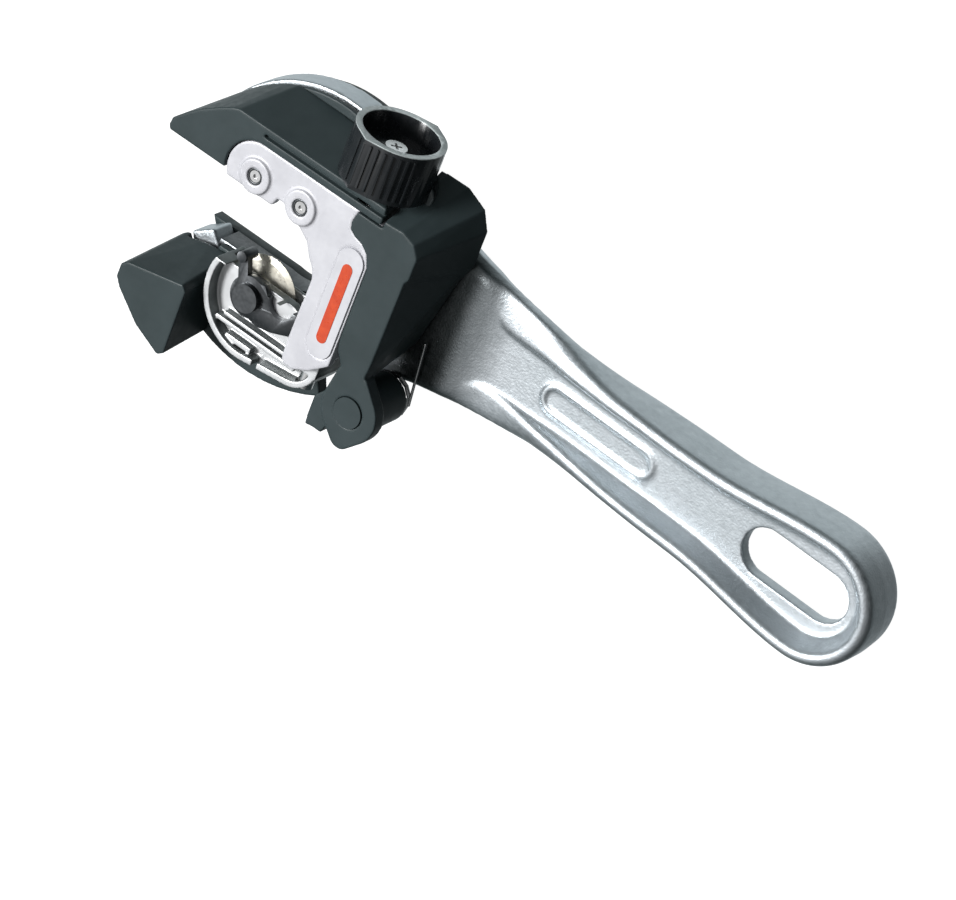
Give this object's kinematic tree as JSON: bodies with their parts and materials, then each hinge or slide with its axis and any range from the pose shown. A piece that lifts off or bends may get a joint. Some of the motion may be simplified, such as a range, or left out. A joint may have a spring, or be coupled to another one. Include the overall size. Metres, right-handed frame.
{
  "type": "close-quarters tubing cutter",
  "caption": "Close-quarters tube cutter: cutting wheel on a screw-fed slide facing two rollers, held in an open ratchet ring with a long handle.",
  "frame": {"origin": "on the axis of the tube being cut (the ratchet's turning axis), at the flat back that the tool lies on", "axes": "+X along the handle, +Y along the feed screw towards the knob, +Z along the tube axis from the back to the front plate"},
  "size_m": [0.2213, 0.0913, 0.0384],
  "materials": {
    "cast_aluminium": "sand cast, satin",
    "black_plastic": "fine moulded texture",
    "knob_plastic": "gloss",
    "pale_zinc": "satin silver",
    "plated_steel": "plated",
    "dark_steel": "black oxide",
    "wheel_steel": "polished",
    "spring_steel": "bright wire",
    "bronze": "turned"
  },
  "bodies": {
    "handle": {"ratchet_handle": "cast_aluminium", "pawl_pin": "plated_steel", "pawl_spring": "spring_steel", "pawl_cover": "plated_steel", "pawl_cover_screws": "dark_steel"},
    "pawl": {"pawl": "dark_steel"},
    "head": {"ratchet_gear": "dark_steel", "rear_plate": "black_plastic", "rear_screws": "plated_steel", "carrier_base": "black_plastic", "upper_guard": "black_plastic", "lower_guard": "black_plastic", "side_block": "black_plastic", "cutter_frame": "pale_zinc", "frame_back_plate": "plated_steel", "frame_rivets": "plated_steel", "badge": "pale_zinc", "roller_pin_left": "plated_steel", "roller_pin_right": "plated_steel", "latch_pin": "black_plastic", "latch_spring": "spring_steel", "thrust_washer": "plated_steel", "autofeed_spring": "spring_steel"},
    "latch": {"latch_lever": "black_plastic"},
    "roller_left": {"roller_left": "plated_steel"},
    "roller_right": {"roller_right": "plated_steel"},
    "slide": {"wheel_slide": "pale_zinc", "wheel_bracket": "dark_steel", "wheel_pin": "dark_steel", "wheel_clip": "spring_steel", "feed_nut": "bronze"},
    "wheel": {"cutter_wheel": "wheel_steel"},
    "knob": {"feed_knob": "knob_plastic", "feed_screw": "plated_steel", "knob_screw": "plated_steel"}
  },
  "joints": [
    {"name": "head_turn", "type": "hinge", "parent": "handle", "child": "head", "pos_m": [0, 0, 0.008], "axis": [0, 0, 1], "continuous": true},
    {"name": "pawl_swing", "type": "hinge", "parent": "handle", "child": "pawl", "pos_m": [0.03481, 0.01053, 0.008], "axis": [0, 0, 1], "range_deg": [0, 8], "stiffness_Nm_per_rad": 0.02, "springref_deg": -11.46},
    {"name": "latch_swing", "type": "hinge", "parent": "head", "child": "latch", "pos_m": [0.041, -0.027, 0.02], "axis": [0, 0, 1], "range_deg": [0, 25], "stiffness_Nm_per_rad": 0.05, "springref_deg": -17.19},
    {"name": "roller_left_spin", "type": "hinge", "parent": "head", "child": "roller_left", "pos_m": [-0.0076, 0.015, 0.02], "axis": [0, 0, 1], "continuous": true},
    {"name": "roller_right_spin", "type": "hinge", "parent": "head", "child": "roller_right", "pos_m": [0.0076, 0.015, 0.02], "axis": [0, 0, 1], "continuous": true},
    {"name": "feed_turn", "type": "hinge", "parent": "head", "child": "knob", "pos_m": [0.0235, 0.03, 0.0255], "axis": [0, 1, 0], "range_deg": [-2880, 1440]},
    {"name": "feed_travel", "type": "slide", "parent": "head", "child": "slide", "axis": [0, 1, 0], "range_m": [-0.008, 0.016]},
    {"name": "wheel_spin", "type": "hinge", "parent": "slide", "child": "wheel", "pos_m": [0, -0.019, 0.02], "axis": [0, 0, 1], "continuous": true}
  ],
  "couplings": [
    {"joint": "feed_turn", "follows": "feed_travel", "rad_per_m": -3141.6}
  ]
}
